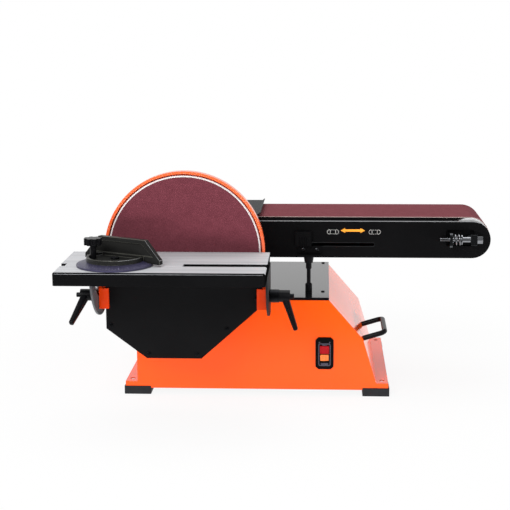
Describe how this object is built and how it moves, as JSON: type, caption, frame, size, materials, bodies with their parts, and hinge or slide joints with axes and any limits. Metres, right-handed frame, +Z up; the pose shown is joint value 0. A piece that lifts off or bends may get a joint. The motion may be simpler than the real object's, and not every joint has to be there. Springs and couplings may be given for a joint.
{
  "type": "belt and disc sander",
  "caption": "Bench sander with an upright abrasive disc over a tilting table and a long sanding belt on an arm that lifts, on a folded steel base with a carry handle and a keyed switch.",
  "frame": {"origin": "on the bench under the middle of the base, which is the centre of the four bench-bolt holes", "axes": "+X along the belt arm away from the disc, +Y to the back away from the disc's face, +Z up from the bench"},
  "size_m": [0.7213, 0.6095, 0.4145],
  "materials": {
    "orange_paint": "gloss powder coat on steel sheet and castings",
    "black_paint": "satin black paint on steel",
    "grey_paint": "satin grey paint on steel plate",
    "dark_grey_paint": "satin dark grey paint on sheet steel",
    "slate_paint": "satin slate paint on a stamped plate",
    "cast_aluminium": "machined cast aluminium",
    "steel": "turned and plated steel",
    "cast_iron": "painted cast iron",
    "black_plastic": "grained black plastic",
    "red_plastic": "gloss red plastic",
    "yellow_plastic": "gloss amber plastic",
    "rubber": "moulded black rubber",
    "abrasive": "cloth-backed abrasive with a red-brown grain"
  },
  "bodies": {
    "base": {"base_front_panel": "orange_paint", "base_rear_panel": "orange_paint", "base_left_side": "orange_paint", "base_right_side": "orange_paint", "base_top_plate": "dark_grey_paint", "top_plate_screws": "steel", "motor_floor": "grey_paint", "rubber_feet": "rubber", "carry_handle": "black_paint", "switch_frame": "black_plastic", "cord_gland": "black_plastic", "disc_housing": "orange_paint", "lower_disc_cover": "black_paint", "cover_screws": "steel", "dust_port": "black_plastic", "spindle_housing": "cast_iron", "spindle_bearings": "steel", "rear_bearing_bracket": "cast_iron", "housing_bolts": "steel", "motor_housing": "cast_aluminium", "drive_belt": "rubber", "run_capacitor": "black_plastic", "belt_cover": "black_paint", "table_brackets": "orange_paint", "lock_studs": "steel"},
    "rocker": {"switch_rocker": "red_plastic"},
    "key": {"safety_key": "yellow_plastic"},
    "spindle_group": {"spindle": "steel", "disc_plate": "cast_aluminium", "abrasive_disc": "abrasive", "drive_drum": "cast_aluminium", "spindle_pulley": "cast_aluminium"},
    "rotor_group": {"motor_rotor": "steel", "motor_pulley": "cast_aluminium"},
    "belt_arm": {"arm_near_plate": "steel", "arm_far_plate": "steel", "arm_platen": "steel", "arm_crossbars": "cast_aluminium", "lever_shelf": "steel", "arm_near_cover": "black_paint", "arm_far_cover": "black_paint", "sanding_belt": "abrasive", "drum_cover": "dark_grey_paint", "strut_bracket": "black_paint", "strut_screws": "steel", "strut_rod": "black_paint"},
    "tension_lever_group": {"tension_lever": "steel", "lever_grip": "black_plastic"},
    "carriage": {"idler_carriage": "steel", "idler_axle": "steel"},
    "idler": {"idler_roller": "cast_aluminium"},
    "tracking": {"tracking_screw": "steel"},
    "table": {"table_top": "cast_aluminium", "table_trunnions": "cast_aluminium"},
    "left_clamp": {"clamp_lever_left": "black_plastic"},
    "right_clamp": {"clamp_lever_right": "black_plastic"},
    "gauge_bar": {"mitre_bar": "steel"},
    "gauge_head": {"mitre_head": "black_paint", "mitre_protractor": "slate_paint"},
    "gauge_knob": {"mitre_lock_knob": "black_plastic"}
  },
  "joints": [
    {"name": "spindle_spin", "type": "hinge", "parent": "base", "child": "spindle_group", "pos_m": [-0.116, 0, 0.278], "axis": [0, 1, 0], "continuous": true},
    {"name": "rotor_spin", "type": "hinge", "parent": "base", "child": "rotor_group", "pos_m": [-0.116, 0, 0.082], "axis": [0, 1, 0], "continuous": true},
    {"name": "arm_lift", "type": "hinge", "parent": "base", "child": "belt_arm", "pos_m": [-0.116, 0, 0.278], "axis": [0, -1, 0], "range_deg": [0, 90]},
    {"name": "lever_swing", "type": "hinge", "parent": "belt_arm", "child": "tension_lever_group", "pos_m": [0.149, -0.0495, 0.2655], "axis": [0, 0, 1], "range_deg": [0, 70]},
    {"name": "carriage_slide", "type": "slide", "parent": "belt_arm", "child": "carriage", "axis": [-1, 0, 0], "range_m": [0, 0.0025]},
    {"name": "idler_spin", "type": "hinge", "parent": "carriage", "child": "idler", "pos_m": [0.37956, 0, 0.278], "axis": [0, 1, 0], "continuous": true},
    {"name": "tracking_turn", "type": "hinge", "parent": "carriage", "child": "tracking", "pos_m": [0.345, -0.1237, 0.278], "axis": [1, 0, 0], "range_deg": [-180, 180]},
    {"name": "table_tilt", "type": "hinge", "parent": "base", "child": "table", "pos_m": [-0.116, -0.2495, 0.278], "axis": [1, 0, 0], "range_deg": [0, 45]},
    {"name": "left_clamp_turn", "type": "hinge", "parent": "base", "child": "left_clamp", "pos_m": [-0.28, -0.27505, 0.2078], "axis": [1, 0, 0], "range_deg": [0, 104]},
    {"name": "right_clamp_turn", "type": "hinge", "parent": "base", "child": "right_clamp", "pos_m": [0.05, -0.27505, 0.2078], "axis": [1, 0, 0], "range_deg": [-35, 60]},
    {"name": "gauge_slide", "type": "slide", "parent": "table", "child": "gauge_bar", "axis": [1, 0, 0], "range_m": [-0.1, 0.17]},
    {"name": "gauge_swivel", "type": "hinge", "parent": "gauge_bar", "child": "gauge_head", "pos_m": [-0.215, -0.3675, 0.28], "axis": [0, 0, 1], "range_deg": [-126, 0]},
    {"name": "gauge_knob_turn", "type": "hinge", "parent": "gauge_bar", "child": "gauge_knob", "pos_m": [-0.25, -0.3675, 0.31], "axis": [0, 0, 1], "range_deg": [0, 270]},
    {"name": "rocker_tip", "type": "hinge", "parent": "base", "child": "rocker", "pos_m": [0.122, -0.16, 0.0851], "axis": [1, 0, 0], "range_deg": [-14, 0]},
    {"name": "key_pull", "type": "slide", "parent": "base", "child": "key", "axis": [0, -1, 0], "range_m": [0, 0.02]}
  ],
  "couplings": [
    {"joint": "rotor_spin", "follows": "spindle_spin", "ratio": 0.78261},
    {"joint": "idler_spin", "follows": "spindle_spin", "ratio": 1},
    {"joint": "carriage_slide", "follows": "lever_swing", "m_per_rad": 0.002046}
  ]
}
